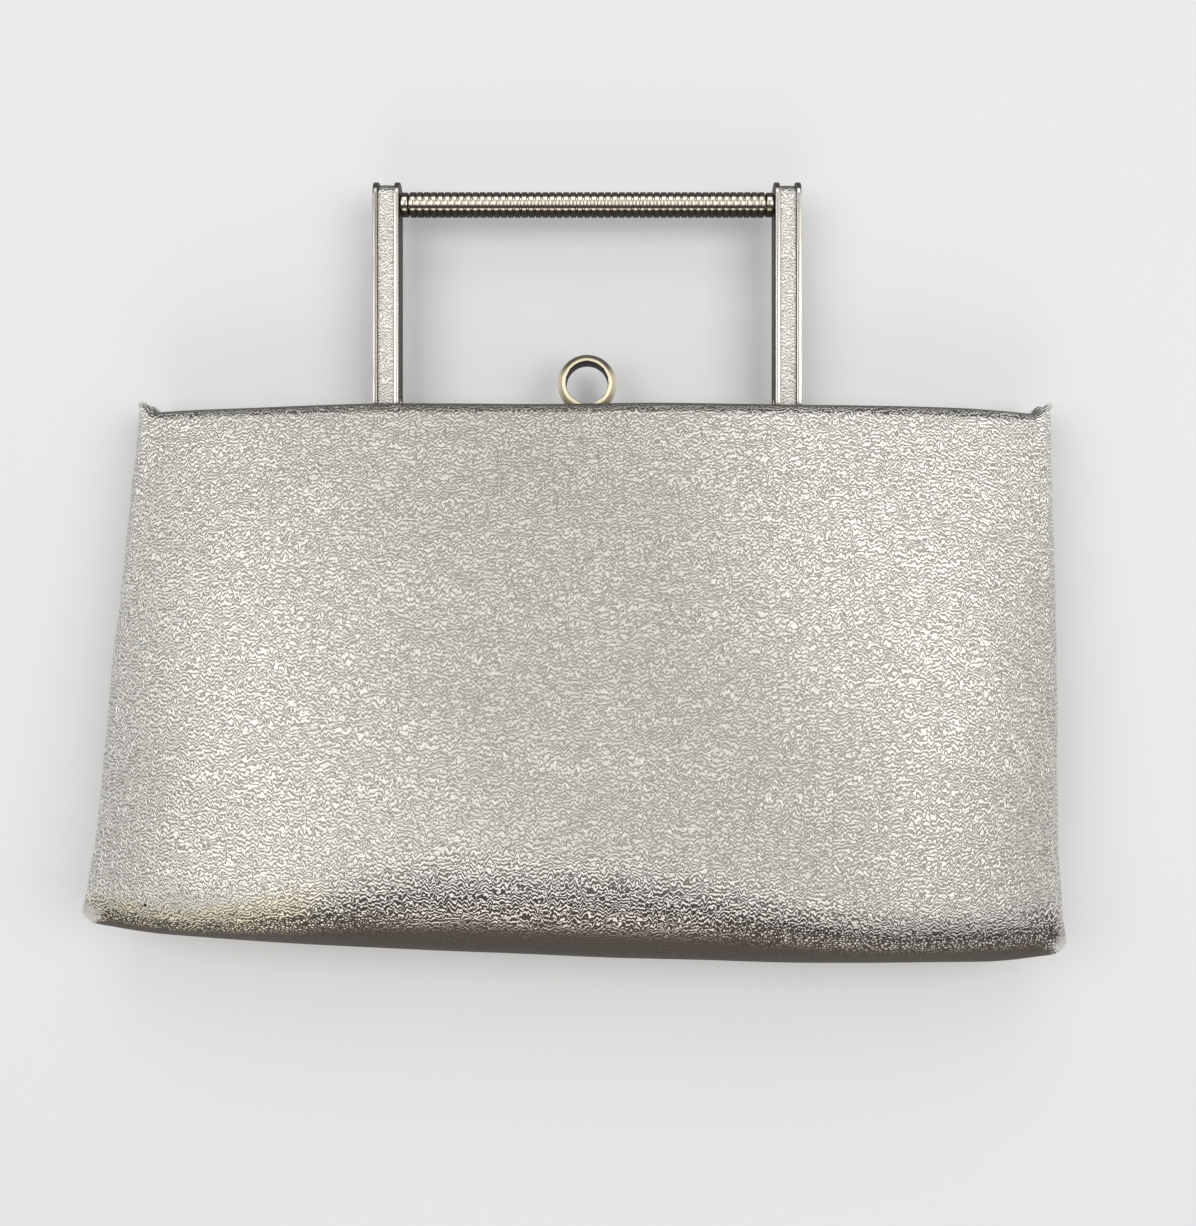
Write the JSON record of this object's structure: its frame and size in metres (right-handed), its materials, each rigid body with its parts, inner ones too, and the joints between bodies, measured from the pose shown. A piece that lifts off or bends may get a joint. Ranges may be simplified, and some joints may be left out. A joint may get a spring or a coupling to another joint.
{
  "type": "evening clutch bag",
  "caption": "Framed evening clutch in metallic leather, with a hinged covered frame, a ring clasp with hook and catch, and a flip handle with a ribbed crossbar.",
  "frame": {"origin": "on the back panel's flat rest face, midway between the handle's arms; the bag lies on its back", "axes": "+X along the bag to the right as seen from the front, +Y from the base towards the handle, +Z out of the front panel"},
  "size_m": [0.2461, 0.2026, 0.04],
  "materials": {
    "metallic_leather": "champagne-silver metallic leather with a fine crinkled grain",
    "champagne_metal": "polished pale champagne-gold plating",
    "frame_metal": "satin gold-toned plating",
    "spring_steel": "bright spring steel",
    "lining_cloth": "beige satin lining",
    "grey_board": "grey stiffening board"
  },
  "bodies": {
    "bag": {"back_panel": "metallic_leather", "front_panel_lower": "metallic_leather", "front_panel_crease": "metallic_leather", "left_gusset": "metallic_leather", "right_gusset": "metallic_leather", "left_gusset_fold": "metallic_leather", "right_gusset_fold": "metallic_leather", "back_board": "grey_board", "base_board": "grey_board", "lining_pouch": "lining_cloth", "slip_pocket": "lining_cloth", "back_rail": "frame_metal", "left_hinge_rivet": "frame_metal", "right_hinge_rivet": "frame_metal", "left_handle_lug": "frame_metal", "right_handle_lug": "frame_metal", "catch_plate": "frame_metal"},
    "front_frame": {"front_panel_upper": "metallic_leather", "front_rail": "frame_metal", "clasp_bracket": "frame_metal", "clasp_pin": "spring_steel", "clasp_spring": "spring_steel"},
    "clasp": {"clasp_ring": "champagne_metal", "clasp_lever": "champagne_metal"},
    "handle": {"left_arm": "champagne_metal", "right_arm": "champagne_metal", "left_arm_inlay": "metallic_leather", "right_arm_inlay": "metallic_leather", "crossbar_sleeve": "champagne_metal", "crossbar_rod": "champagne_metal", "left_ferrule": "champagne_metal", "right_ferrule": "champagne_metal", "left_pivot_pin": "champagne_metal", "right_pivot_pin": "champagne_metal"}
  },
  "joints": [
    {"name": "frame_open", "type": "hinge", "parent": "bag", "child": "front_frame", "pos_m": [0, 0.0213, 0.012], "axis": [1, 0, 0], "range_deg": [0, 45], "deforming": ["front_panel_crease", "left_gusset_fold", "right_gusset_fold", "lining_pouch"]},
    {"name": "clasp_tilt", "type": "hinge", "parent": "front_frame", "child": "clasp", "pos_m": [0, 0.06, 0.01425], "axis": [1, 0, 0], "range_deg": [0, 12], "stiffness_Nm_per_rad": 0.05, "springref_deg": -11.46, "deforming": ["clasp_spring"]},
    {"name": "handle_fold", "type": "hinge", "parent": "bag", "child": "handle", "pos_m": [0, 0.07, 0.012], "axis": [1, 0, 0], "range_deg": [-55, 55]}
  ]
}
